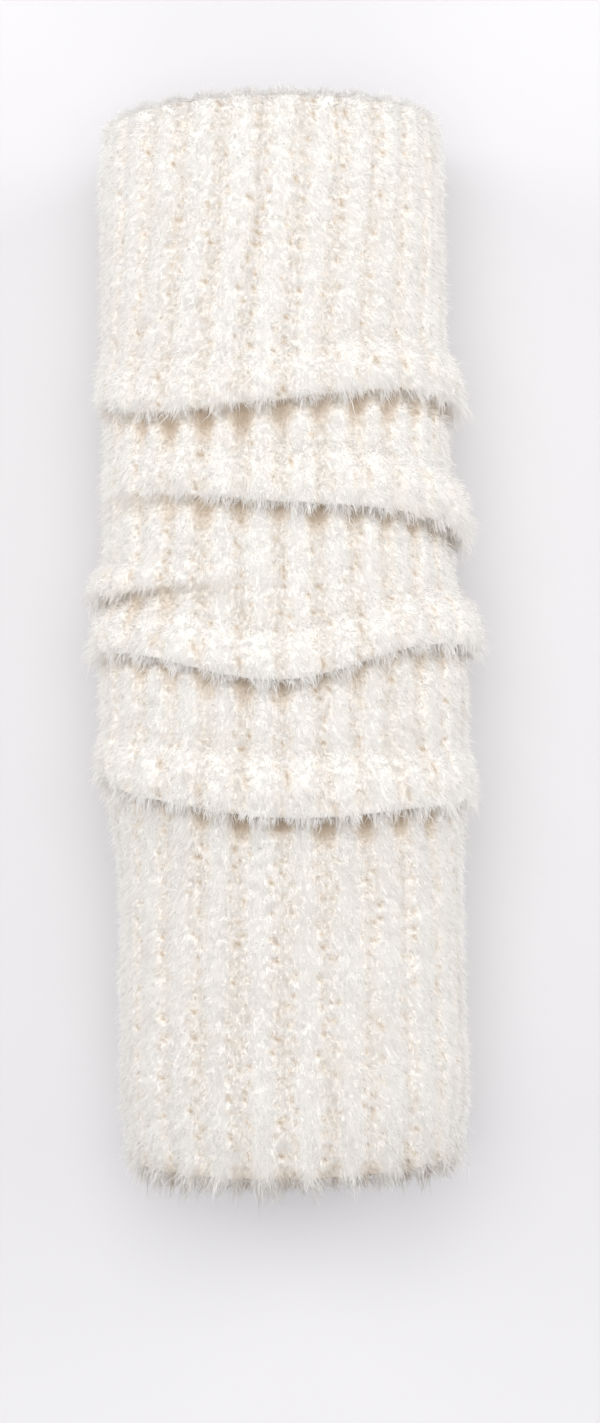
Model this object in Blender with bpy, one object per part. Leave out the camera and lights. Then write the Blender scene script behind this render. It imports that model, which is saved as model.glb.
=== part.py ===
"""A fuzzy rib-knit leg warmer, filled out as one hollow tube with slouch folds, lying on its back.

The upper hem points to +Y and the lower hem to -Y. The front is up, and the under side is flat on the
floor, at z = 0. Tables are in millimetres and degrees, and the mesh is in metres.
"""

from collections import namedtuple

import bmesh
import bpy
import numpy as np

for old in list(bpy.data.objects):
    bpy.data.objects.remove(old)

MM = 0.001

LENGTH = 330.0  # from hem to hem, slouched, along the tube
HEIGHT_SHARE = 0.9  # the oval's height over its width
AXIS_HEIGHT = 46.0  # of the oval's centre above the floor
WALL = 5.0  # lofty knit with its pile, at a rib's crest
FLOOR_WALL = 3.2  # where the tube's weight presses the knit flat
RIBS = 24
RIB_DEPTH = 2.6
RIB_ROUNDNESS = 0.6  # under 1 gives broad ribs and narrow grooves
FIRST_GROOVE = -3.0  # the angle of the groove nearest the front
GATHER_TOWARDS = 12.0  # the angle that bunched ribs crowd to
HEM_SCALLOP = 1.2  # how far the grooves notch a hem

COLUMNS_PER_RIB = 4
INNER_COLUMNS = RIBS  # one at each groove
FOLD_STEPS = (-1.0, -0.6, -0.25, 0.1, 0.4, 0.7, 1.0)  # rings across a fold, in half widths from its middle
INNER_FOLD_STEPS = (-1.0, -0.3, 0.3, 1.0)
INNER_SWELL = 0.35  # the inside follows a fold by this share of its height
INNER_LEAN = 0.3
ROLL_ROUNDNESS = 0.75  # under 1 gives a fold a broad crest
LEAN_STEP = 0.25  # a fold leans most this far below its middle

# Angles go from the front, 0, over the right side, 90, to the under side, 180.
LEAN_FADE = (118.0, 148.0)  # folds stop leaning between these angles, above the floor
GROOVE_FADE = (142.0, 158.0)  # and grooves are pressed out between these

# Widths are from the axis to each side, at the ribs' crests.
# Drift turns the ribs, in degrees, and gather crowds them towards the front.
Section = namedtuple("Section", "name along left right drift gather")
SECTIONS = (
    Section("upper hem", 0.0, 52.0, 53.2, 13.5, 0.10),
    Section("upper edge", 12.0, 53.6, 54.4, 12.8, 0.10),
    Section("upper cuff", 35.0, 54.0, 54.6, 10.5, 0.11),
    Section("above fold a", 72.0, 54.8, 54.6, 5.5, 0.11),
    Section("under fold a", 104.0, 54.9, 54.5, 2.5, 0.16),
    Section("under fold b", 142.0, 56.4, 55.2, 1.0, 0.18),
    Section("under fold d", 184.0, 58.2, 58.6, -0.5, 0.23),
    Section("above fold e", 203.0, 58.3, 57.9, -0.8, 0.23),
    Section("under fold e", 229.0, 54.2, 56.0, 0.0, 0.05),
    Section("lower cuff", 280.0, 54.2, 55.2, 0.0, 0.00),
    Section("lower edge", 316.0, 54.0, 55.0, 0.0, 0.00),
    Section("lower hem", 330.0, 52.0, 52.4, 0.0, 0.00),
)

# Each fold leans down over the stretch below it. A lip is where it ends, measured from the upper hem, and
# a swell is how far it stands out. Both have eight stations round the tube, 45 degrees apart: under,
# left_under, left, left_front, front, right_front, right and right_under.
Fold = namedtuple("Fold", "name half_width lean lips swells")
FOLDS = (
    Fold("a", 10.0, 0.9, (93, 91, 91, 97, 95.5, 91.5, 94, 94), (4, 3, 2, 4, 4.5, 5, 5, 5)),
    Fold("b", 9.5, 1.2, (128, 125, 123, 122.5, 124.5, 127.5, 134, 132), (4, 2, 0.5, 2, 5, 5.5, 6.5, 6)),
    Fold("c", 5.5, 0.8, (148, 149, 150, 150, 149, 148, 147, 148), (3, 5, 5, 2.5, 0, 0, 0, 1)),
    Fold("d", 8.5, 1.0, (170, 169, 169, 170, 178, 168.5, 169, 169), (4, 4, 3.5, 5, 6, 6, 7, 6)),
    Fold("e", 9.0, 1.5, (214, 211, 208, 213, 219.5, 218, 217.5, 216), (4, 3, 1.5, 4.5, 6, 5, 3, 4)),
)


def spline(at, knots, values):
    """Smooth curve through the values, with a slope at each knot taken from its neighbours."""
    knots = np.asarray(knots, float)
    values = np.asarray(values, float)
    slopes = np.gradient(values, knots)
    i = np.clip(np.searchsorted(knots, at, side="right") - 1, 0, len(knots) - 2)
    step = knots[i + 1] - knots[i]
    t = np.clip((at - knots[i]) / step, 0.0, 1.0)
    rise = t * t * (3 - 2 * t)
    lead = t * (1 - t) ** 2
    tail = t * t * (t - 1)
    return (1 - rise) * values[i] + rise * values[i + 1] + step * (lead * slopes[i] + tail * slopes[i + 1])


def around(angle, at_stations):
    """Smooth closed curve round the tube through a fold's eight values."""
    turn = (angle + 180.0) % 360.0 - 180.0
    wide_values = np.tile(at_stations, 3)
    wide_knots = -540.0 + 45.0 * np.arange(len(wide_values))
    return spline(turn, wide_knots, wide_values)


def smooth_step(value, low, high):
    t = np.clip((value - low) / (high - low), 0.0, 1.0)
    return t * t * (3 - 2 * t)


def free_of_floor(angle, fade):
    """1 round the front and sides, fading to 0 towards the under side between two angles."""
    turn = np.abs((angle + 180.0) % 360.0 - 180.0)
    return 1.0 - smooth_step(turn, *fade)


def bump(step):
    """1 in the middle and 0 from one step away."""
    return 0.5 * (1 + np.cos(np.pi * np.clip(step, -1.0, 1.0)))


def roll(step):
    """(rise, lean) of a fold's outline at this many half widths below its middle."""
    return bump(step) ** ROLL_ROUNDNESS, bump((step - LEAN_STEP) / (1.0 - LEAN_STEP))


def fold_shape(fold, angle):
    """(middle, swell, push): the fold's place on the smooth tube, and how far it moves out and down."""
    swell = np.maximum(around(angle, fold.swells), 0.0)
    push = fold.lean * swell * free_of_floor(angle, LEAN_FADE)
    steps = np.linspace(0.0, 1.0, 21)
    reach = np.max([fold.half_width * step + push * roll(step)[1] for step in steps], axis=0)
    return around(angle, fold.lips) - reach, swell, push


def rib_angle(column_angle, along):
    """The angle at which a column of stitches runs, with its drift and bunching there."""
    columns = [[getattr(s, name) for s in SECTIONS] for name in ("along", "drift", "gather")]
    drift = spline(along, columns[0], columns[1])
    gather = spline(along, columns[0], columns[2])
    return column_angle + drift - np.degrees(gather * np.sin(np.radians(column_angle - GATHER_TOWARDS)))


def rib_height(column_angle):
    """0 in a groove and 1 on a rib's crest."""
    phase = ((column_angle - FIRST_GROOVE) * RIBS / 360.0) % 1.0
    return np.sin(np.pi * phase) ** RIB_ROUNDNESS


def tube_points(column_angle, along, depth, outside=True):
    """Points in metres at these columns and distances from the upper hem, this share of the wall deep."""
    angle = rib_angle(column_angle, along)
    swell_share, push_share = (1.0, 1.0) if outside else (INNER_SWELL, INNER_LEAN)
    out, down = 0.0, along
    for fold in FOLDS:
        middle, swell, push = fold_shape(fold, angle)
        rise, lean = roll((along - middle) / fold.half_width)
        out = out + swell_share * swell * rise
        down = down + push_share * push * lean
    groove = RIB_DEPTH * (1 - rib_height(column_angle)) * free_of_floor(angle, GROOVE_FADE)
    out = out - groove - depth * (WALL - groove)
    knots = [s.along for s in SECTIONS]
    left = spline(along, knots, [s.left for s in SECTIONS])
    right = spline(along, knots, [s.right for s in SECTIONS])
    middle, half_width = (right - left) / 2, (left + right) / 2
    x = middle + (half_width + out) * np.sin(np.radians(angle))
    z = AXIS_HEIGHT + (HEIGHT_SHARE * half_width + out) * np.cos(np.radians(angle))
    y = LENGTH / 2 - down
    return np.stack(np.broadcast_arrays(x, y, np.maximum(z, depth * FLOOR_WALL)), axis=-1) * MM


def fold_rows(steps, column_angle):
    """For each fold, its rings' distances from the upper hem, which follow the fold round the tube."""
    rows = []
    for fold in FOLDS:
        middle = fold_shape(fold, rib_angle(column_angle, np.mean(fold.lips)))[0]
        rows.append([middle + fold.half_width * step for step in steps])
    return rows


def outer_rings():
    """The outside's rings from the upper hem's edge to the lower one's."""
    columns = np.arange(RIBS * COLUMNS_PER_RIB) * 360.0 / (RIBS * COLUMNS_PER_RIB) + FIRST_GROOVE
    flat = np.zeros_like(columns)
    notch = HEM_SCALLOP * (1 - rib_height(columns))
    folds = fold_rows(FOLD_STEPS, columns)
    upper = [(notch, 0.5), (notch + 0.8, 0.16), (notch + 3.5, 0.0)]
    lower = [(LENGTH - row, depth) for row, depth in upper[::-1]]
    between = (folds[-2][-1] + folds[-1][0]) / 2
    smooth = [flat + 30.0, flat + 58.0] + [row for rows in folds[:-1] for row in rows]
    smooth += [between] + folds[-1] + [flat + 243.0, flat + 270.0, flat + 300.0]
    rings = upper + [(row, 0.0) for row in smooth] + lower
    return [tube_points(columns, row, depth) for row, depth in rings]


def inner_rings():
    """The plain inside's rings, in the same order."""
    columns = np.arange(INNER_COLUMNS) * 360.0 / INNER_COLUMNS + FIRST_GROOVE
    flat = np.zeros_like(columns)
    folds = fold_rows(INNER_FOLD_STEPS, columns)
    rows = [(flat + HEM_SCALLOP + 0.8, 0.84), (flat + HEM_SCALLOP + 3.5, 1.0), (flat + 45.0, 1.0)]
    rows += [(row, 1.0) for fold in folds for row in fold]
    rows += [(flat + 262.0, 1.0), (LENGTH - rows[1][0], 1.0), (LENGTH - rows[0][0], 0.84)]
    return [tube_points(columns, row, depth, outside=False) for row, depth in rows]


def skin(bm, rings, outward):
    """Quads between neighbouring rings. Returns the first ring's points and the last one's."""
    loops = [[bm.verts.new(point) for point in ring] for ring in rings]
    for upper, lower in zip(loops, loops[1:]):
        for i in range(len(upper)):
            j = (i + 1) % len(upper)
            quad = (upper[i], lower[i], lower[j], upper[j])
            bm.faces.new(quad if outward else quad[::-1])
    return loops[0], loops[-1]


def close_hem(bm, many, few):
    """Triangles across a hem's edge, from the outside's many points to the inside's few."""
    share = len(many) // len(few)
    for i, point in enumerate(few):
        after = few[(i + 1) % len(few)]
        first = i * share
        fan = [many[(first + k) % len(many)] for k in range(share + 1)]
        half = share // 2 + 1
        for k in range(share):
            bm.faces.new((fan[k], fan[k + 1], point if k < half else after))
        bm.faces.new((fan[half], after, point))


def make_tube():
    bm = bmesh.new()
    outer_first, outer_last = skin(bm, outer_rings(), outward=True)
    inner_first, inner_last = skin(bm, inner_rings(), outward=False)
    close_hem(bm, outer_first, inner_first)
    close_hem(bm, outer_last, inner_last)
    bmesh.ops.recalc_face_normals(bm, faces=bm.faces)
    corners = np.array([vert.co for vert in bm.verts])
    middle = (corners.min(axis=0) + corners.max(axis=0)) / 2
    bmesh.ops.translate(bm, verts=bm.verts, vec=(-middle[0], -middle[1], 0.0))
    mesh = bpy.data.meshes.new("leg_tube")
    bm.to_mesh(mesh)
    bm.free()
    mesh.shade_smooth()
    return mesh


def cream_knit():
    material = bpy.data.materials.new("cream_knit")
    material.use_nodes = True
    shader = material.node_tree.nodes["Principled BSDF"]
    shader.inputs["Base Color"].default_value = (0.87, 0.82, 0.74, 1.0)
    shader.inputs["Roughness"].default_value = 0.95
    shader.inputs["Metallic"].default_value = 0.0
    return material


tube = bpy.data.objects.new("leg_tube", make_tube())
tube.data.materials.append(cream_knit())
bpy.context.scene.collection.objects.link(tube)
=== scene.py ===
"""Looks of a cream rib-knit leg warmer in fur-like yarn, slouched on its back on a pale floor.

The tube is laid out in millimetres and degrees, with its upper hem to +Y and its front up. Meshes are in
metres.
"""

from collections import namedtuple

import bpy
import numpy as np
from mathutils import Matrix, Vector


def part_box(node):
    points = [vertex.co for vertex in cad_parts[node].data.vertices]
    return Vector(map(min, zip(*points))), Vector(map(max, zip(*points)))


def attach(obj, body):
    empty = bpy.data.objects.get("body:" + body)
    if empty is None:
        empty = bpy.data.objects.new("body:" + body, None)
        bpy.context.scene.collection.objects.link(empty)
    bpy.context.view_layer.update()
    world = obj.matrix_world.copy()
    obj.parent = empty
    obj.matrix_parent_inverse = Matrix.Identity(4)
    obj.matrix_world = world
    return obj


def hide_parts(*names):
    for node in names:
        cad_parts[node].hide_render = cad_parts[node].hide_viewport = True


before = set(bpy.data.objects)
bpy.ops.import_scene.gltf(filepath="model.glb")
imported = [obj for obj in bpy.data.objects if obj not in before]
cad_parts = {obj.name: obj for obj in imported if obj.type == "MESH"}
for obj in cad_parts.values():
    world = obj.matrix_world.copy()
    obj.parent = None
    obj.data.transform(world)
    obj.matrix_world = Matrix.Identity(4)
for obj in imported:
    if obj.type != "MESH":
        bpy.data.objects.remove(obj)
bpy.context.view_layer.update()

MM = 0.001
SEED = 20

# The tube's form, as on its solid
LENGTH = 330.0  # from hem to hem, slouched, along the tube
HEIGHT_SHARE = 0.9  # the oval's height over its width
AXIS_HEIGHT = 46.0  # of the oval's centre above the floor
WALL = 5.0  # lofty knit with its pile, at a rib's crest
FLOOR_WALL = 3.2  # where the tube's weight presses the knit flat
RIBS = 24
FIRST_GROOVE = -3.0  # the angle of the groove nearest the front
GATHER_TOWARDS = 12.0  # the angle that bunched ribs crowd to
INNER_SWELL = 0.35  # the inside follows a fold by this share of its height
INNER_LEAN = 0.3  # and by this share of its lean
ROLL_ROUNDNESS = 0.75  # under 1 gives a fold a broad crest
LEAN_STEP = 0.25  # a fold leans most this far below its middle
LEAN_FADE = (118.0, 148.0)  # folds stop leaning between these angles, above the floor
GROOVE_FADE = (142.0, 158.0)  # and grooves are pressed out between these
MEAN_RADIUS = 54.0  # turns an angle into millimetres round the tube
FULL_SWELL = 4.0  # a fold that stands out this far has its full shade and tufts

# The knit under the pile
PILE_DEPTH = 1.4  # from the pile's surface to the knit on a rib's crest
VALLEY_DEPTH = 1.8  # from there to the knit in a groove
VALLEY_SHARPNESS = 1.1
WALES_PER_RIB = 3
COURSE = 3.6  # a row of stitches
INNER_RIB_RELIEF = 0.9  # ribs show inside as shallow troughs
KNIT_ABOVE_FLOOR = 0.7
COLUMNS_PER_RIB = 8
OUTER_ROWS = 250
INNER_ROWS = 84
FACE_MARGIN = 1.4  # the outer and inner faces end this far in from a hem
RIM_MARGIN = 0.3  # and the row that joins them lies this far in
OUTER_FACE, RIM, INNER_FACE = 0.0, 0.5, 1.0  # how deep in the wall a row of the grid lies
UV_MARGIN = 0.01

# The painted shade of the hollows, a warm brown; the same values thin and shorten the pile there
POCKET_START = (0.4, 0.65)  # a pocket begins between these half widths below a fold's middle
POCKET_REACH = 4.0  # and reaches so far below the lip on a rib's crest
POCKET_REACH_IN_GROOVE = 10.0  # and so much further in a groove
POCKET_SHADE = 0.4  # how dark the painted shade of a pocket is on a rib's crest
POCKET_SHADE_IN_GROOVE = 0.75  # and how much darker in a groove
POCKET_WIDENING = 1.6  # over 1 widens a pocket's painted shade from the groove towards the crests
GROOVE_PATCH = 28.0  # a groove's painted shade is darker or paler by stretches of this length
PATCH_STRENGTH = (0.4, 1.0)
PATCH_SEED = SEED + 9
HEM_GAP = (7.0, 1.0)  # grooves get painted shade between these distances from the lower hem
# How dark the painted shade is in the lower hem's gaps, all down a groove, and in its stitch holes
HEM_GAP_SHADE = 0.7
GROOVE_SHADE = 0.08
HOLE_SHADE = 1.05

# Where the pile grows
SECTORS = ("front", "right", "right_under", "left_under", "left")
STRANDS = 430000
RECESS_THINNING = 0.85
RIM_DENSITY = 2.4  # over that of a rib's crest
INNER_DENSITY = 0.02
INNER_HEM_DENSITY = 0.60
INSIDE_PILE = (3.0, 28.0)  # the pile inside fades out between these distances from a hem
UPPER_HEM_FULLNESS = 6.0  # and is thicker outside within this distance of the upper hem
UPPER_HEM_EXTRA = 0.5
RIM_TUFTS = 7.0  # strands stand up within this distance of the upper hem
HEM_TUFTS = (8.0, 1.0)  # and grow into tufts between these distances from the lower hem
LIP_TUFTS = 0.45  # and so many half widths to either side of a fold's lip
LIP_FILL = 5.0  # and fill the hollow within this distance below a lip

# Each strand. A spread is how much strands differ from one another.
STRAND_LENGTH = 3.5
LENGTH_SPREAD = 0.22
GROOVE_LENGTH = 0.68  # the share of the length that strands have in a groove
CREST_LENGTH = 0.32  # and what they gain up to a rib's crest
LIP_LENGTH = -0.25  # the gain on a lip, in a groove
LIP_CREST_LENGTH = 0.95  # and how much greater it is on a crest
HEM_LENGTH = 0.35
HEM_CREST_LENGTH = 0.3
FILL_LENGTH = 0.5
INNER_LENGTH = 0.9
HOLE_SHORTENING = 0.9
STRAND_WIDTH = 0.28
WIDTH_SPREAD = 0.2
LEAN = 0.85  # towards the lower hem for each step outwards
LEAN_SPREAD = 0.3
FILL_UPRIGHT = 1.6  # over 1 leans strands back up into the hollow below a lip
GROOVE_SPLAY = 0.25  # how far strands follow the sides of a groove
WAY_SPREAD = 0.45
DROOP = 0.12
REACH = 0.95
CURL = 0.06
TWIST = 0.6
FLOOR_GAP = 0.05
FLOOR_GAP_SPREAD = 0.5
CORNER_GAP = 0.02  # keeps a flattened blade's corners apart

# Locks of strands
CLUMP = 2.0  # the size of a lock
CLUMP_BLUR = 0.22  # how far strands stray into the next lock, in locks
LOCK_WAY_SPREAD = 0.3
LOCK_PULL = 0.42  # how far a strand's tip is drawn to its lock's tip
LIP_PULL = 0.2
HEM_PULL = 0.25
LOCK_PULL_SPREAD = 0.12
MOST_PULL = 0.9
BEND = 0.25  # how far its middle follows
TUFT_UNEVENNESS = (-0.45, 0.5)

# How far strands are shaded as if they faced the sky, which makes tufts catch the light
LIFT = 1.0
RIM_LIFT = 4.0
LIP_LIFT = 1.1
FILL_LIFT = 1.2
HEM_LIFT = 0.8
FLAT_SHADING = 0.12  # by a blade's own flat side
WAY_SHADING = 0.05  # and by the way it grows

TOES = np.array([0.0, -1.0, 0.0])
SKY = np.array([0.0, 0.0, 1.0])

# A strand's blade has four corners: its root, its two sides and its tip.
BLADE_UP = np.array([0.0, 0.5, 0.5, 1.0])
BLADE_UV = np.array([[0.5, 0.1], [0.2, 0.5], [0.8, 0.5], [0.5, 0.9]])

# Small holes between the stitches run down each groove in four uneven lanes.
Lane = namedtuple("Lane", "step aside")
LANES = (Lane(4.3, -2.6), Lane(5.9, -0.9), Lane(4.9, 1.0), Lane(4.5, 2.7))
LANE_WOBBLE = 0.6
HOLE_RADIUS = 0.9
HOLE_PLACE = (0.15, 0.85)  # where a hole may lie in its step, as a share of it
HOLE_STRENGTH = (-0.2, 1.3)  # below 0 there is no hole

# Widths are from the axis to each side, at the ribs' crests.
# Drift turns the ribs, in degrees, and gather crowds them towards the front.
Section = namedtuple("Section", "name along left right drift gather")
SECTIONS = (
    Section("upper hem", 0.0, 52.0, 53.2, 13.5, 0.10),
    Section("upper edge", 12.0, 53.6, 54.4, 12.8, 0.10),
    Section("upper cuff", 35.0, 54.0, 54.6, 10.5, 0.11),
    Section("above fold a", 72.0, 54.8, 54.6, 5.5, 0.11),
    Section("under fold a", 104.0, 54.9, 54.5, 2.5, 0.16),
    Section("under fold b", 142.0, 56.4, 55.2, 1.0, 0.18),
    Section("under fold d", 184.0, 58.2, 58.6, -0.5, 0.23),
    Section("above fold e", 203.0, 58.3, 57.9, -0.8, 0.23),
    Section("under fold e", 229.0, 54.2, 56.0, 0.0, 0.05),
    Section("lower cuff", 280.0, 54.2, 55.2, 0.0, 0.00),
    Section("lower edge", 316.0, 54.0, 55.0, 0.0, 0.00),
    Section("lower hem", 330.0, 52.0, 52.4, 0.0, 0.00),
)

# Each fold leans down over the stretch below it. A lip is where it ends, measured from the upper hem, and a
# swell is how far it stands out. Both have eight stations round the tube, 45 degrees apart: under,
# left_under, left, left_front, front, right_front, right and right_under. A pocket is how dark the painted
# shade in the hollow below it is.
Fold = namedtuple("Fold", "name half_width lean pocket lips swells")
FOLDS = (
    Fold("a", 10.0, 0.9, 0.9, (93, 91, 91, 97, 95.5, 91.5, 94, 94), (4, 3, 2, 4, 4.5, 5, 5, 5)),
    Fold("b", 9.5, 1.2, 0.95, (128, 125, 123, 122.5, 124.5, 127.5, 134, 132), (4, 2, 0.5, 2, 5, 5.5, 6.5, 6)),
    Fold("c", 5.5, 0.8, 0.95, (148, 149, 150, 150, 149, 148, 147, 148), (3, 5, 5, 2.5, 0, 0, 0, 1)),
    Fold("d", 8.5, 1.0, 0.8, (170, 169, 169, 170, 178, 168.5, 169, 169), (4, 4, 3.5, 5, 6, 6, 7, 6)),
    Fold("e", 9.0, 1.5, 1.0, (214, 211, 208, 213, 219.5, 218, 217.5, 216), (4, 3, 1.5, 4.5, 6, 5, 3, 4)),
)

# The floor and the camera, in metres and degrees
FLOOR_HALF = 3.0
LENS = 65.8  # in millimetres
CAMERA_PLACE = (0.0041, -0.0226, 0.878)
CAMERA_TURN = -1.45


def spline(at, knots, values):
    """Smooth curve through the values, with a slope at each knot taken from its neighbours."""
    knots = np.asarray(knots, float)
    values = np.asarray(values, float)
    slopes = np.gradient(values, knots)
    i = np.clip(np.searchsorted(knots, at, side="right") - 1, 0, len(knots) - 2)
    step = knots[i + 1] - knots[i]
    t = np.clip((at - knots[i]) / step, 0.0, 1.0)
    rise = t * t * (3 - 2 * t)
    lead = t * (1 - t) ** 2
    tail = t * t * (t - 1)
    return (1 - rise) * values[i] + rise * values[i + 1] + step * (lead * slopes[i] + tail * slopes[i + 1])


def around(angle, at_stations):
    """Smooth closed curve round the tube through a fold's eight values."""
    turn = (angle + 180.0) % 360.0 - 180.0
    wide_values = np.tile(at_stations, 3)
    wide_knots = -540.0 + 45.0 * np.arange(len(wide_values))
    return spline(turn, wide_knots, wide_values)


def smooth_step(value, low, high):
    t = np.clip((value - low) / (high - low), 0.0, 1.0)
    return t * t * (3 - 2 * t)


def free_of_floor(angle, fade):
    """1 round the front and sides, fading to 0 towards the under side between two angles."""
    turn = np.abs((angle + 180.0) % 360.0 - 180.0)
    return 1.0 - smooth_step(turn, *fade)


def bump(step):
    """1 in the middle and 0 from one step away."""
    return 0.5 * (1 + np.cos(np.pi * np.clip(step, -1.0, 1.0)))


def roll(step):
    """(rise, lean) of a fold's outline at this many half widths below its middle."""
    return bump(step) ** ROLL_ROUNDNESS, bump((step - LEAN_STEP) / (1.0 - LEAN_STEP))


def fold_shape(fold, angle):
    """(middle, swell, push): the fold's place on the smooth tube, and how far it moves out and down."""
    swell = np.maximum(around(angle, fold.swells), 0.0)
    push = fold.lean * swell * free_of_floor(angle, LEAN_FADE)
    steps = np.linspace(0.0, 1.0, 21)
    reach = np.max([fold.half_width * step + push * roll(step)[1] for step in steps], axis=0)
    return around(angle, fold.lips) - reach, swell, push


def at_sections(along, name):
    """A smooth curve down the tube through the sections' values of this name."""
    return spline(along, [s.along for s in SECTIONS], [getattr(s, name) for s in SECTIONS])


def rib_angle(column_angle, along):
    """The angle at which a column of stitches runs, with its drift and bunching there."""
    drift = at_sections(along, "drift")
    gather = at_sections(along, "gather")
    return column_angle + drift - np.degrees(gather * np.sin(np.radians(column_angle - GATHER_TOWARDS)))


def rib_phase(column_angle):
    """0 and 1 in the grooves at a rib's two sides, and 0.5 on its crest."""
    return ((column_angle - FIRST_GROOVE) * RIBS / 360.0) % 1.0


def tube_points(column_angle, along, out, swell_share=1.0, push_share=1.0):
    """Points in millimetres at these columns and distances from the upper hem, moved out by so much."""
    angle = rib_angle(column_angle, along)
    down = along
    for fold in FOLDS:
        middle, swell, push = fold_shape(fold, angle)
        rise, lean = roll((along - middle) / fold.half_width)
        out = out + swell_share * swell * rise
        down = down + push_share * push * lean
    left = at_sections(along, "left")
    right = at_sections(along, "right")
    half_width = (left + right) / 2
    x = (right - left) / 2 + (half_width + out) * np.sin(np.radians(angle))
    z = AXIS_HEIGHT + (HEIGHT_SHARE * half_width + out) * np.cos(np.radians(angle))
    y = LENGTH / 2 - down
    return np.stack(np.broadcast_arrays(x, y, z), axis=-1)


def under_lips(angle, along, reach):
    """1 in the hollow under a fold's lip, fading to 0 this far below the lip's edge, in millimetres."""
    dark = 0.0
    for fold in FOLDS:
        middle, swell = fold_shape(fold, angle)[:2]
        inside = smooth_step((along - middle) / fold.half_width, *POCKET_START)
        below = along - around(angle, fold.lips)
        shade = inside * (1 - smooth_step(below, 0.1 * reach, reach))
        dark = np.maximum(dark, fold.pocket * shade * np.clip(swell / FULL_SWELL, 0.0, 1.0))
    return dark


class Knit:
    """The knit wall as a closed grid: rows run down the outside, round the lower hem and up the inside."""

    def __init__(self):
        self.columns = np.arange(RIBS * COLUMNS_PER_RIB) * 360.0 / (RIBS * COLUMNS_PER_RIB) + FIRST_GROOVE
        outer = np.linspace(FACE_MARGIN, LENGTH - FACE_MARGIN, OUTER_ROWS)
        inner = np.linspace(LENGTH - FACE_MARGIN, FACE_MARGIN, INNER_ROWS)
        self.along = np.concatenate([outer, [LENGTH - RIM_MARGIN], inner, [RIM_MARGIN]])
        self.depth = np.repeat([OUTER_FACE, RIM, INNER_FACE, RIM], [OUTER_ROWS, 1, INNER_ROWS, 1])
        column, along = self.columns[None, :], self.along[:, None]
        self.points = self.place(column, along, 1.0)
        self.normals, self.area = measure(self.points)
        self.smooth_normals = measure(self.place(column, along, 0.0))[0]

    def place(self, column, along, ribbed):
        """Grid points in millimetres, with all of the ribs' grooves or with none."""
        angle = rib_angle(column, along)
        rib = np.sin(np.pi * rib_phase(column))
        groove = (1 - rib ** VALLEY_SHARPNESS) * free_of_floor(angle, GROOVE_FADE)
        outside = tube_points(column, along, -PILE_DEPTH - ribbed * VALLEY_DEPTH * groove)
        inside = tube_points(column, along, -WALL + ribbed * INNER_RIB_RELIEF * rib, INNER_SWELL, INNER_LEAN)
        outside[..., 2] = np.maximum(outside[..., 2], KNIT_ABOVE_FLOOR)
        inside[..., 2] = np.maximum(inside[..., 2], FLOOR_WALL)
        inwards = self.depth[:, None, None]
        return outside * (1 - inwards) + inside * inwards + shift_to_frame()

    def triangles(self):
        rows, columns = self.points.shape[:2]
        i, j = np.meshgrid(np.arange(rows), np.arange(columns), indexing="ij")
        below, beside = (i + 1) % rows, (j + 1) % columns
        a, b = i * columns + j, below * columns + j
        c, d = below * columns + beside, i * columns + beside
        return np.concatenate([np.stack([a, b, c], -1), np.stack([a, c, d], -1)], axis=1).reshape(-1, 3)

    def corner_places(self):
        """Each triangle corner's row and column, counted past the last one where the grid closes."""
        rows, columns = self.points.shape[:2]
        row, column = np.divmod(self.triangles(), columns)
        row = np.where((row == 0) & (row.max(axis=1) == rows - 1)[:, None], rows, row)
        column = np.where((column == 0) & (column.max(axis=1) == columns - 1)[:, None], columns, column)
        return row.ravel(), column.ravel()


def measure(points):
    """A closed grid's normals, which point out of the wall, and each point's area in square millimetres."""
    down = np.roll(points, -1, axis=0) - np.roll(points, 1, axis=0)
    across = np.roll(points, -1, axis=1) - np.roll(points, 1, axis=1)
    cross = np.cross(down, across)
    size = np.linalg.norm(cross, axis=-1)
    return cross / np.maximum(size, 1e-9)[..., None], size / 4


def shift_to_frame():
    """The offset from the layout's axis to the middle of the frame's box."""
    angle = np.linspace(-180.0, 180.0, 145)[None, :]
    widest = tube_points(angle, np.linspace(0.0, LENGTH, 221)[:, None], 0.0)[..., 0]
    low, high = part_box("leg_tube")
    return np.array([(low[0] + high[0]) / 2 / MM - (widest.min() + widest.max()) / 2, 0.0, 0.0])


def make_mesh(name, points_mm, triangles, corner_uv, colours, normals=None):
    """A mesh object from arrays: a UV place for each corner, a colour and perhaps a normal for each point."""
    mesh = bpy.data.meshes.new(name)
    mesh.vertices.add(len(points_mm))
    mesh.vertices.foreach_set("co", (points_mm * MM).astype(np.float32).ravel())
    mesh.loops.add(triangles.size)
    mesh.loops.foreach_set("vertex_index", triangles.astype(np.int32).ravel())
    mesh.polygons.add(len(triangles))
    mesh.polygons.foreach_set("loop_start", np.arange(0, triangles.size, 3, dtype=np.int32))
    mesh.update(calc_edges=True)
    layer = mesh.uv_layers.new(name="OFBake")
    layer.data.foreach_set("uv", corner_uv.astype(np.float32).ravel())
    tint = mesh.color_attributes.new("yarn", "FLOAT_COLOR", "POINT")
    opaque = np.concatenate([colours, np.ones((len(colours), 1))], axis=1)
    tint.data.foreach_set("color", opaque.astype(np.float32).ravel())
    mesh.shade_smooth()
    if normals is not None:
        bent = mesh.attributes.new("custom_normal", "FLOAT_VECTOR", "POINT")
        bent.data.foreach_set("vector", normals.astype(np.float32).ravel())
    piece = bpy.data.objects.new(name, mesh)
    bpy.context.scene.collection.objects.link(piece)
    return piece


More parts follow.
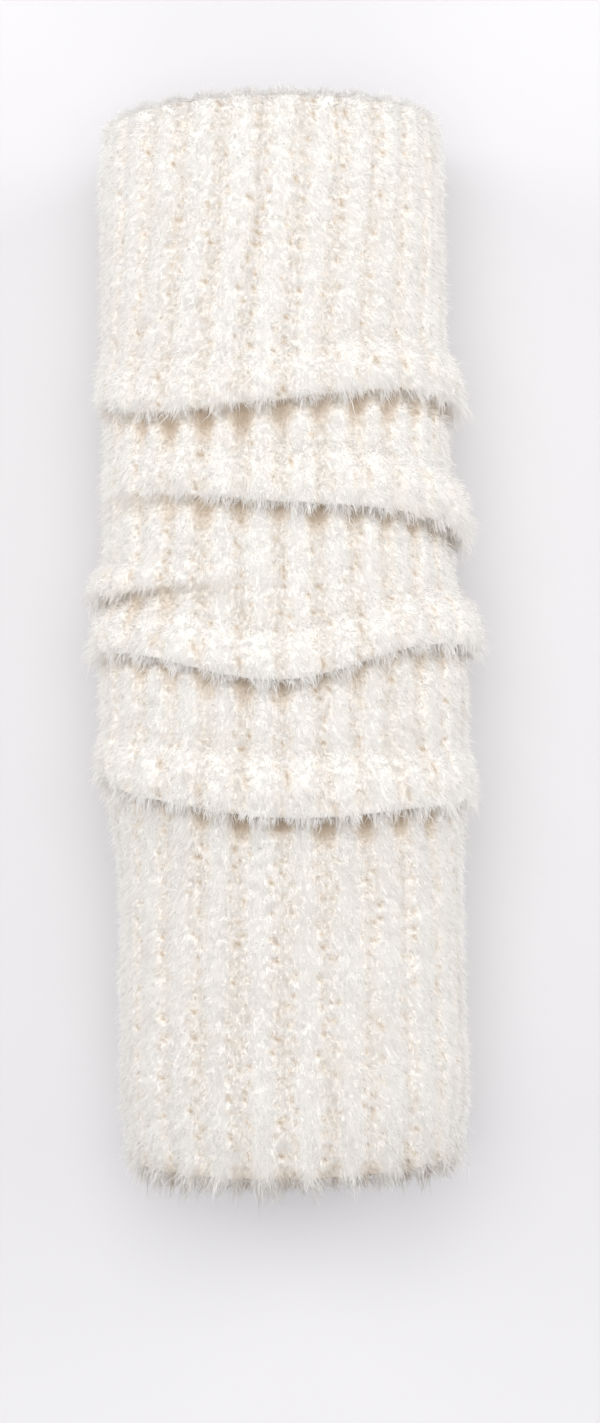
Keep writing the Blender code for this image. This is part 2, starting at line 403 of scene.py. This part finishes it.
def knit_piece(knit):
    """The knit wall itself, with painted shade in its grooves and under the folds' lips."""
    rows, columns = knit.points.shape[:2]
    outside = (knit.depth != INNER_FACE)[:, None]
    # Painted shade of the recesses, on the outer face and the rims
    deep = recess(knit.columns[None, :], knit.along[:, None]) * outside
    colours = np.stack([deep, deep, np.broadcast_to(outside, deep.shape)], axis=-1).reshape(-1, 3)
    row, column = knit.corner_places()
    uv = np.stack([column / columns, row / rows], axis=-1) * (1 - 2 * UV_MARGIN) + UV_MARGIN
    piece = make_mesh("knit_tube", knit.points.reshape(-1, 3), knit.triangles(), uv, colours)
    along = knit.along[row % rows]
    stitches = piece.data.uv_layers.new(name="stitches")
    wale_course = np.stack([column * WALES_PER_RIB / COLUMNS_PER_RIB, along / COURSE], axis=-1)
    stitches.data.foreach_set("uv", wale_course.astype(np.float32).ravel())
    piece.data.uv_layers.active = piece.data.uv_layers["OFBake"]
    piece.data.materials.append(knit_material())
    return piece


def grid_blend(grid, row, column):
    """A grid's values between its points, at fractional rows and columns."""
    rows, columns = grid.shape[:2]
    i, j = np.floor(row).astype(int), np.floor(column).astype(int)
    s, t = (row - i)[:, None], (column - j)[:, None]
    below, beside = (i + 1) % rows, (j + 1) % columns
    i, j = i % rows, j % columns
    upper = grid[i, j] * (1 - t) + grid[i, beside] * t
    lower = grid[below, j] * (1 - t) + grid[below, beside] * t
    return upper * (1 - s) + lower * s


def unit(vectors):
    return vectors / np.maximum(np.linalg.norm(vectors, axis=-1, keepdims=True), 1e-9)


def nearest_groove(column_angle):
    return np.round((column_angle - FIRST_GROOVE) * RIBS / 360.0).astype(int)


def groove_holes(column_angle, along):
    """1 in the small holes between the stitches beside and down each groove, and 0 away from them."""
    groove = nearest_groove(column_angle)
    across = np.radians(column_angle - FIRST_GROOVE - groove * 360.0 / RIBS) * MEAN_RADIUS
    groove = groove % RIBS
    deepest = 0.0
    for number, lane in enumerate(LANES):
        rng = np.random.default_rng(SEED + number)
        size = (RIBS, int(LENGTH / lane.step) + 2)
        middle = rng.uniform(*HOLE_PLACE, size)
        strength = rng.uniform(*HOLE_STRENGTH, size)
        aside = lane.aside + LANE_WOBBLE * rng.normal(size=size)
        place = np.clip(along / lane.step, 0.0, LENGTH / lane.step)
        hole = np.floor(place).astype(int)
        down = (place - hole - middle[groove, hole]) * lane.step
        far = (down / HOLE_RADIUS) ** 2 + ((across - aside[groove, hole]) / (0.8 * HOLE_RADIUS)) ** 2
        deepest = np.maximum(deepest, strength[groove, hole] * np.exp(-far))
    return deepest


def recess(column_angle, along):
    """How far into a stitch hole, a groove or a fold's pocket these points are, from 0 to 1: the painted
    shade of the knit and the pile, which also thins and shortens the pile.
    """
    angle = rib_angle(column_angle, along)
    rib = np.sin(np.pi * rib_phase(column_angle))
    shown = free_of_floor(angle, GROOVE_FADE)
    groove = (1 - rib ** 2) * shown
    rng = np.random.default_rng(PATCH_SEED)
    patches = rng.uniform(*PATCH_STRENGTH, (RIBS, int(LENGTH / GROOVE_PATCH) + 1))
    patch = patches[nearest_groove(column_angle) % RIBS, (along / GROOVE_PATCH).astype(int)]
    hollow = np.clip(POCKET_WIDENING * groove * patch, 0.0, 1.0)
    reach = POCKET_REACH + POCKET_REACH_IN_GROOVE * hollow
    pocket = under_lips(angle, along, reach) * (POCKET_SHADE + POCKET_SHADE_IN_GROOVE * hollow)
    # Painted shade in the gaps between the tufts at the lower hem
    hem_gap = HEM_GAP_SHADE * smooth_step(along, LENGTH - HEM_GAP[0], LENGTH - HEM_GAP[1]) * groove * patch
    # Painted shade, faint all down a groove and dark in its stitch holes
    band = GROOVE_SHADE * groove + HOLE_SHADE * groove_holes(column_angle, along) * shown
    return np.clip(np.maximum(np.maximum(band, pocket), hem_gap), 0.0, 1.0)


def pile_density(knit):
    """How thickly the pile grows at each grid point."""
    column, along = knit.columns[None, :], knit.along[:, None]
    near_upper_hem = np.clip(1 - along / UPPER_HEM_FULLNESS, 0.0, 1.0)
    outer = 1 - RECESS_THINNING * recess(column, along) + UPPER_HEM_EXTRA * near_upper_hem
    depth = knit.depth[:, None]
    from_hem = np.minimum(along, LENGTH - along)
    inner = INNER_DENSITY + INNER_HEM_DENSITY * (1 - smooth_step(from_hem, *INSIDE_PILE))
    return np.where(depth == OUTER_FACE, outer, np.where(depth == RIM, RIM_DENSITY, inner))


class Strands:
    """One sector's strands: tapered blades that lean towards the lower hem and gather into small locks."""

    def __init__(self, knit, sector, density):
        self.rng = np.random.default_rng(SEED + sector)
        width = 360.0 / len(SECTORS)
        from_edge = (knit.columns - (sector - 0.5) * width) % 360.0
        weight = density * knit.area * (from_edge < width)[None, :]
        thinning = 1
        self.count = int(STRANDS * weight.sum() / (density * knit.area).sum() / thinning)
        self.set_roots(knit, weight)
        self.set_surroundings()
        self.set_ways()
        self.set_lengths()
        self.set_locks()
        self.set_blades()
        self.tone = 0.5 * self.lock_tone[self.lock] + 0.5 * self.rng.random(self.count)

    def set_roots(self, knit, weight):
        """Roots spread evenly by weight over the grid, with what the knit is like at each of them."""
        total = np.cumsum(weight.ravel())
        pick = (np.arange(self.count) + self.rng.random(self.count)) / self.count * total[-1]
        cell = np.searchsorted(total, pick)
        columns = knit.points.shape[1]
        row = cell // columns + self.rng.random(self.count) - 0.5
        column = cell % columns + self.rng.random(self.count) - 0.5
        self.root = grid_blend(knit.points, row, column)
        self.normal = unit(grid_blend(knit.normals, row, column))
        self.smooth_normal = unit(grid_blend(knit.smooth_normals, row, column))
        self.column_angle = FIRST_GROOVE + column * 360.0 / columns
        self.along = np.interp(row, np.arange(len(knit.along)), knit.along)
        self.angle = rib_angle(self.column_angle, self.along)
        self.rib = np.sin(np.pi * rib_phase(self.column_angle))
        near_row = np.round(row).astype(int) % len(knit.along)
        self.outside = knit.depth[near_row] != INNER_FACE

    def set_surroundings(self):
        """How near each strand is to the upper rim, a fold's lip, the hollow below it and the lower hem."""
        self.rim = np.clip(1 - self.along / RIM_TUFTS, 0.0, 1.0)
        self.fill = under_lips(self.angle, self.along, LIP_FILL) * self.rib ** 2
        near_lip = np.zeros(self.count)
        for fold in FOLDS:
            middle, swell = fold_shape(fold, self.angle)[:2]
            from_lip = bump(((self.along - middle) / fold.half_width - LEAN_STEP) / LIP_TUFTS)
            near_lip = np.maximum(near_lip, from_lip * np.clip(swell / FULL_SWELL, 0.0, 1.0))
        self.near_lip = near_lip * self.outside
        self.near_hem = smooth_step(self.along, LENGTH - HEM_TUFTS[0], LENGTH - HEM_TUFTS[1]) * self.outside

    def set_ways(self):
        """Strands lean towards the lower hem, but stand up at the upper rim and in a hollow."""
        lean = self.rng.normal(LEAN, LEAN_SPREAD, self.count)
        lean = lean * (1 - FILL_UPRIGHT * self.fill) * (1 - self.rim)
        self.grow = unit(self.smooth_normal + GROOVE_SPLAY * self.normal)
        astray = WAY_SPREAD * self.rng.normal(size=(self.count, 3))
        self.way = unit(self.grow + lean[:, None] * TOES + astray)

    def set_lengths(self):
        """Strands are longer in the tufts on a lip and a hem, and short where they would cover a hole."""
        length = STRAND_LENGTH * np.exp(LENGTH_SPREAD * self.rng.normal(size=self.count))
        length = length * (GROOVE_LENGTH + CREST_LENGTH * self.rib)
        gain = self.near_lip * (LIP_CREST_LENGTH * self.rib + LIP_LENGTH)
        gain = gain + self.near_hem * (HEM_CREST_LENGTH * self.rib + HEM_LENGTH)
        length = length * (1 + gain + FILL_LENGTH * self.fill * self.outside)
        length = length * np.where(self.outside, 1.0, INNER_LENGTH)
        self.reach_down = -(self.way * length[:, None])[:, 1] * self.outside
        over_hole = np.zeros(self.count)
        for share in (0.4, 0.8):
            below = np.clip(self.along + share * self.reach_down, 0.0, LENGTH)
            over_hole = np.maximum(over_hole, recess(self.column_angle, below))
        self.over_hole = over_hole * (1 - self.near_lip) * (1 - self.near_hem)
        self.length = length * (1 - HOLE_SHORTENING * self.over_hole)

    def set_locks(self):
        """Strands whose roots are close share a lock, which has its own way, tone and tuft length."""
        blur = self.rng.normal(0.0, CLUMP_BLUR, (2, self.count))
        row = np.floor(self.root[:, 1] / CLUMP + blur[0]).astype(int)
        round_tube = np.radians(self.angle) * MEAN_RADIUS
        column = np.floor(round_tube / CLUMP + 0.5 * (row % 2) + blur[1]).astype(int)
        # One number for each lock, from its column, its row and its side of the wall
        key = column + 10 ** 4 * row + np.where(self.outside, 0, 10 ** 8)
        groups, self.lock, sizes = np.unique(key, return_inverse=True, return_counts=True)

        def mean_by_lock(vectors):
            return np.stack([np.bincount(self.lock, vectors[:, k]) for k in range(3)], -1) / sizes[:, None]

        self.lock_root = mean_by_lock(self.root)
        lock_way = unit(mean_by_lock(self.way))
        self.lock_way = unit(lock_way + LOCK_WAY_SPREAD * self.rng.normal(size=lock_way.shape))
        self.lock_tone = self.rng.random(len(groups))
        uneven = self.rng.uniform(*TUFT_UNEVENNESS, len(groups))[self.lock]
        self.length = self.length * (1 + (self.near_lip + self.near_hem) * uneven)

    def set_blades(self):
        """Each strand's root, two sides and tip, drawn to its lock's tip, with its flat side outwards."""
        length = self.length[:, None]
        pull = LOCK_PULL + LIP_PULL * self.near_lip + HEM_PULL * self.near_hem
        pull = pull + LOCK_PULL_SPREAD * self.rng.normal(size=self.count)
        pull = (pull * (1 - self.over_hole))[:, None]
        tip = self.root + self.way * length * REACH + TOES * (DROOP * length)
        lock_tip = self.lock_root[self.lock] + self.lock_way[self.lock] * length
        tip = tip + np.clip(pull, 0.0, MOST_PULL) * (lock_tip - tip)
        middle = self.root + self.way * (0.5 * length) + BEND * pull * (lock_tip - tip)
        middle = middle + CURL * length * self.rng.normal(size=(self.count, 3))
        side = unit(np.cross(self.way, self.grow + TWIST * self.rng.normal(size=(self.count, 3))))
        self.side = side * np.sign(np.sum(np.cross(side, self.way) * self.grow, axis=1))[:, None]
        half = (0.5 * STRAND_WIDTH * np.exp(WIDTH_SPREAD * self.rng.normal(size=self.count)))[:, None]
        self.blades = np.stack([self.root, middle - self.side * half, middle + self.side * half, tip], axis=1)
        floor_gap = FLOOR_GAP + FLOOR_GAP_SPREAD * self.rng.random(self.count)[:, None]
        floor_gap = floor_gap + CORNER_GAP * np.arange(4)[None, :]
        self.blades[..., 2] = np.maximum(self.blades[..., 2], floor_gap)

    def shading(self):
        """The way each strand faces the light: out of the tube, and up to the sky where tufts catch it."""
        lift = LIFT + RIM_LIFT * self.rim + LIP_LIFT * self.near_lip
        lift = lift + FILL_LIFT * self.fill + HEM_LIFT * self.near_hem
        lift = (lift * self.outside)[:, None]
        outwards = unit(self.normal + self.smooth_normal)
        flat = unit(np.cross(self.side, self.way))
        return unit(outwards + FLAT_SHADING * flat + WAY_SHADING * self.way + lift * SKY)

    def colours(self):
        """How far up its strand each blade corner is, the strand's tone, and how far it is into a recess,
        which is painted on it as shade.
        """
        below = np.clip(self.along[:, None] + self.reach_down[:, None] * (0.8 * BLADE_UP), 0.0, LENGTH)
        # Painted shade of the recess below each corner, left off the inside and the lips' tufts
        deep = recess(self.column_angle[:, None], below) * (self.outside * (1 - self.near_lip))[:, None]
        return np.stack(np.broadcast_arrays(BLADE_UP, self.tone[:, None], deep), axis=-1)


def blade_triangles(blades, shading):
    """Two triangles for each blade, wound so that they face the way of its shading."""
    corners = np.array([[0, 2, 1], [1, 2, 3]])
    a, b, c = blades[:, corners[:, 0]], blades[:, corners[:, 1]], blades[:, corners[:, 2]]
    inwards = np.sum(np.cross(b - a, c - a) * shading[:, None], axis=-1) < 0
    corners = np.where(inwards[..., None], corners[:, ::-1][None], corners[None])
    return (4 * np.arange(len(blades))[:, None, None] + corners).reshape(-1, 3)


def blade_cells(count):
    """Each strand has its own small cell of the texture, root at the bottom and tip at the top."""
    cells = int(np.ceil(np.sqrt(count)))
    cell_place = np.stack([np.arange(count) % cells, np.arange(count) // cells], -1)
    return (cell_place[:, None, :] + BLADE_UV[None]) / cells


def pile_piece(knit, sector, density):
    strands = Strands(knit, sector, density)
    shading = strands.shading()
    triangles = blade_triangles(strands.blades, shading)
    corner_uv = blade_cells(strands.count).reshape(-1, 2)[triangles.ravel()]
    return make_mesh(
        f"pile_{SECTORS[sector]}",
        strands.blades.reshape(-1, 3),
        triangles,
        corner_uv,
        strands.colours().reshape(-1, 3),
        np.repeat(shading, 4, axis=0),
    )


def new_material(name):
    """A new material with its node tree and its shader."""
    material = bpy.data.materials.new(name)
    material.use_nodes = True
    tree = material.node_tree
    return material, tree, tree.nodes["Principled BSDF"]


def node(tree, kind, **inputs):
    made = tree.nodes.new(kind)
    for name, value in inputs.items():
        made.inputs[name.replace("_", " ")].default_value = value
    return made


def ramp(tree, factor, stops):
    made = tree.nodes.new("ShaderNodeValToRGB")
    elements = made.color_ramp.elements
    while len(elements) < len(stops):
        elements.new(0.5)
    for element, (place, colour) in zip(elements, stops):
        element.position = place
        element.color = (*colour, 1.0)
    tree.links.new(factor, made.inputs["Fac"])
    return made.outputs["Color"]


def multiplied(tree, first, second, share=None):
    """The first colour times the second, in full or by a share that varies over the surface."""
    mix = tree.nodes.new("ShaderNodeMix")
    mix.data_type = "RGBA"
    mix.blend_type = "MULTIPLY"
    first_socket, second_socket, result_socket = 6, 7, 2  # of colours, since other kinds share their names
    mix.inputs["Factor"].default_value = 1.0
    if share is not None:
        tree.links.new(share, mix.inputs["Factor"])
    tree.links.new(first, mix.inputs[first_socket])
    tree.links.new(second, mix.inputs[second_socket])
    return mix.outputs[result_socket]


def yarn_channels(tree):
    attribute = tree.nodes.new("ShaderNodeAttribute")
    attribute.attribute_name = "yarn"
    split = tree.nodes.new("ShaderNodeSeparateColor")
    tree.links.new(attribute.outputs["Color"], split.inputs["Color"])
    return split.outputs


def mottle(tree, scale, low, high):
    """A soft patchy tint over the object, from low to high."""
    place = tree.nodes.new("ShaderNodeTexCoord")
    noise = node(tree, "ShaderNodeTexNoise", Scale=scale, Detail=3.0)
    tree.links.new(place.outputs["Object"], noise.inputs["Vector"])
    return ramp(tree, noise.outputs["Fac"], [(0.35, low), (0.65, high)])


def stitch_distance(tree):
    """The distance from the middle of each stitch, in stitches."""
    place = tree.nodes.new("ShaderNodeUVMap")
    place.uv_map = "stitches"
    cells = node(tree, "ShaderNodeTexVoronoi", Scale=1.0, Randomness=0.4)
    cells.voronoi_dimensions = "2D"
    tree.links.new(place.outputs["UV"], cells.inputs["Vector"])
    return cells.outputs["Distance"]


def knit_material():
    material, tree, shader = new_material("cream_knit")
    channels = yarn_channels(tree)
    stitch_share = ramp(tree, channels["Blue"], [(0.0, (1.0, 1.0, 1.0)), (1.0, (0.12, 0.12, 0.12))])
    # Painted shade, a warm brown that deepens into the recesses
    into_recess = [(0.0, (0.92, 0.90, 0.87)), (0.5, (0.74, 0.67, 0.59)), (1.0, (0.46, 0.37, 0.28))]
    colour = ramp(tree, channels["Red"], into_recess)
    colour = multiplied(tree, colour, mottle(tree, 400.0, (0.93, 0.92, 0.90), (1.0, 1.0, 1.0)))
    shader.inputs["Roughness"].default_value = 0.95
    shader.inputs["Sheen Weight"].default_value = 0.2
    from_stitch = stitch_distance(tree)
    # Painted shade in the creases between the stitches, full on the inside and faint outside
    between = ramp(tree, from_stitch, [(0.35, (1.0, 1.0, 1.0)), (0.75, (0.70, 0.64, 0.57))])
    colour = multiplied(tree, colour, between, stitch_share)
    tree.links.new(colour, shader.inputs["Base Color"])
    relief = node(tree, "ShaderNodeBump", Distance=0.0012)
    relief.invert = True
    tree.links.new(stitch_share, relief.inputs["Strength"])
    tree.links.new(from_stitch, relief.inputs["Height"])
    place = tree.nodes.new("ShaderNodeTexCoord")
    fibres = node(tree, "ShaderNodeTexNoise", Scale=1500.0, Detail=4.0)
    tree.links.new(place.outputs["Object"], fibres.inputs["Vector"])
    fuzz = node(tree, "ShaderNodeBump", Strength=0.6, Distance=0.0003)
    tree.links.new(fibres.outputs["Fac"], fuzz.inputs["Height"])
    tree.links.new(relief.outputs["Normal"], fuzz.inputs["Normal"])
    tree.links.new(fuzz.outputs["Normal"], shader.inputs["Normal"])
    return material


def pile_material():
    material, tree, shader = new_material("cream_pile")
    channels = yarn_channels(tree)
    # Painted shade at the strands' roots, lightening to the tips
    from_root = [(0.0, (0.95, 0.939, 0.918)), (0.5, (0.973, 0.968, 0.958)), (1.0, (0.978, 0.976, 0.971))]
    colour = ramp(tree, channels["Red"], from_root)
    tone = ramp(tree, channels["Green"], [(0.0, (0.97, 0.962, 0.946)), (0.5, (1.0, 1.0, 1.0))])
    colour = multiplied(tree, colour, tone)
    # Painted shade, a warm brown, deeper into the recesses
    into_recess = [(0.0, (1.0, 1.0, 1.0)), (0.5, (0.82, 0.78, 0.735)), (1.0, (0.52, 0.45, 0.385))]
    colour = multiplied(tree, colour, ramp(tree, channels["Blue"], into_recess))
    colour = multiplied(tree, colour, mottle(tree, 45.0, (0.98, 0.97, 0.96), (1.0, 1.0, 1.0)))
    tree.links.new(colour, shader.inputs["Base Color"])
    shader.inputs["Roughness"].default_value = 0.8
    shader.inputs["Specular IOR Level"].default_value = 0.0
    through = tree.nodes.new("ShaderNodeBsdfTranslucent")
    tree.links.new(colour, through.inputs["Color"])
    mix = tree.nodes.new("ShaderNodeMixShader")
    mix.inputs["Fac"].default_value = 0.6
    tree.links.new(shader.outputs["BSDF"], mix.inputs[1])
    tree.links.new(through.outputs["BSDF"], mix.inputs[2])
    tree.links.new(mix.outputs["Shader"], tree.nodes["Material Output"].inputs["Surface"])
    return material


def make_floor():
    mesh = bpy.data.meshes.new("floor")
    corners = [(x * FLOOR_HALF, y * FLOOR_HALF, 0) for x, y in ((-1, -1), (1, -1), (1, 1), (-1, 1))]
    mesh.from_pydata(corners, [], [(0, 1, 2, 3)])
    floor = bpy.data.objects.new("floor", mesh)
    bpy.context.scene.collection.objects.link(floor)
    material, _, shader = new_material("pale_floor")
    shader.inputs["Base Color"].default_value = (0.665, 0.655, 0.665, 1.0)
    shader.inputs["Roughness"].default_value = 0.8
    mesh.materials.append(material)


def make_camera():
    """Straight down on the tube, as the photo is, with the photo's slight turn."""
    data = bpy.data.cameras.new("camera")
    data.lens = LENS
    data.clip_end = 20.0
    camera = bpy.data.objects.new("camera", data)
    camera.location = CAMERA_PLACE
    camera.rotation_euler = (0.0, 0.0, np.radians(CAMERA_TURN))
    bpy.context.scene.collection.objects.link(camera)
    bpy.context.scene.camera = camera


def soft_light(name, place, aim, size, power):
    data = bpy.data.lights.new(name, "AREA")
    data.shape = "SQUARE"
    data.size = size
    data.energy = power
    light = bpy.data.objects.new(name, data)
    light.location = place
    way = np.array(aim) - np.array(place)
    light.rotation_euler = Vector(way).to_track_quat("-Z", "Y").to_euler()
    light.visible_camera = False
    bpy.context.scene.collection.objects.link(light)


def make_lights():
    soft_light("overhead", place=(-0.05, 0.16, 1.10), aim=(0.0, 0.05, 0.0), size=0.8, power=6.8)
    soft_light("left", place=(-1.00, 0.25, 0.45), aim=(0.0, 0.05, 0.0), size=0.9, power=7.7)
    soft_light("right", place=(1.00, 0.25, 0.45), aim=(0.0, 0.05, 0.0), size=0.9, power=8.6)
    soft_light("low", place=(0.10, -1.00, 0.60), aim=(0.0, 0.0, 0.0), size=0.9, power=2.1)
    world = bpy.data.worlds.new("studio")
    world.use_nodes = True
    background = world.node_tree.nodes["Background"]
    background.inputs["Color"].default_value = (0.97, 0.97, 1.0, 1.0)
    background.inputs["Strength"].default_value = 0.5
    bpy.context.scene.world = world
    bpy.context.scene.view_settings.view_transform = "Standard"


make_camera()
make_floor()
make_lights()

knit = Knit()
tube = knit_piece(knit)
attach(tube, "root")
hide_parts("leg_tube")

density = pile_density(knit)
pile = pile_material()
for sector in range(len(SECTORS)):
    piece = pile_piece(knit, sector, density)
    piece.data.materials.append(pile)
    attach(piece, "root")
